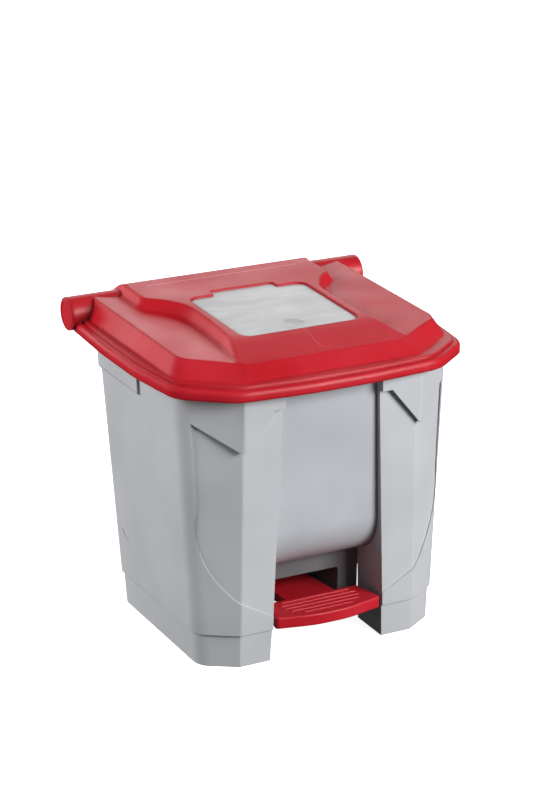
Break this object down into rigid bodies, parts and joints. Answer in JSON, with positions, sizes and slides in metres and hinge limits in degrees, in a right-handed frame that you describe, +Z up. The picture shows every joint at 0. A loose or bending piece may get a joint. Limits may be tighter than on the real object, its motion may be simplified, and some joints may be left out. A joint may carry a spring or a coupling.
{
  "type": "pedal waste bin",
  "caption": "Square plastic waste bin with a pedal-lifted hinged lid, a sprung push flap in the lid and a lift-out inner bucket seen through a slot in its front.",
  "frame": {"origin": "centre of the bin's overall box on the floor plane", "axes": "+Z up, -Y towards the user at the pedal, +X to the user's right"},
  "size_m": [0.4368, 0.377, 0.4216],
  "materials": {
    "grey_plastic": "fine moulded satin, light cool grey",
    "bucket_plastic": "smooth moulded satin, light cool grey",
    "flap_plastic": "smooth moulded satin, pale grey with faint flow marks",
    "red_plastic": "semi-gloss moulded red",
    "white_nylon": "natural nylon",
    "zinc_steel": "bright zinc",
    "black_rubber": "matt"
  },
  "bodies": {
    "housing": {"outer_housing": "grey_plastic", "mechanism_deck": "grey_plastic", "deck_screws": "zinc_steel", "left_carry_grip": "grey_plastic", "right_carry_grip": "grey_plastic", "rod_cover": "grey_plastic", "cover_screws": "zinc_steel", "rod_guide_lower": "white_nylon", "rod_guide_upper": "white_nylon", "guide_screws": "zinc_steel", "lever_pivot_pin": "zinc_steel"},
    "bucket": {"inner_bucket": "bucket_plastic"},
    "lid": {"lid_shell": "red_plastic", "hinge_pin_left": "red_plastic", "hinge_pin_right": "red_plastic", "lid_crank": "white_nylon", "crank_pin": "zinc_steel", "crank_screws": "zinc_steel", "lid_buffers": "black_rubber"},
    "flap": {"flap_panel": "flap_plastic", "flap_rod": "zinc_steel", "flap_springs": "zinc_steel"},
    "pedal": {"pedal_lever": "red_plastic"},
    "rod": {"push_rod": "zinc_steel", "rod_eye": "white_nylon", "rod_foot": "white_nylon"}
  },
  "joints": [
    {"name": "lid_hinge", "type": "hinge", "parent": "housing", "child": "lid", "pos_m": [0, 0.166, 0.391], "axis": [-1, 0, 0], "range_deg": [0, 80]},
    {"name": "rod_slide", "type": "slide", "parent": "housing", "child": "rod", "axis": [0, 0.0872, 0.9962], "range_m": [0, 0.0325]},
    {"name": "pedal_hinge", "type": "hinge", "parent": "housing", "child": "pedal", "pos_m": [0, -0.035, 0.04], "axis": [1, 0, 0], "range_deg": [0, 12.2]},
    {"name": "flap_hinge", "type": "hinge", "parent": "lid", "child": "flap", "pos_m": [0, 0.083, 0.4103], "axis": [1, 0, 0], "range_deg": [0, 70], "stiffness_Nm_per_rad": 0.12, "springref_deg": -68.75},
    {"name": "bucket_lift", "type": "slide", "parent": "housing", "child": "bucket", "axis": [0, 0, 1], "range_m": [0, 0.016]}
  ],
  "couplings": [
    {"joint": "rod_slide", "follows": "lid_hinge", "m_per_rad": 0.023019},
    {"joint": "pedal_hinge", "follows": "lid_hinge", "ratio": 0.15125}
  ]
}
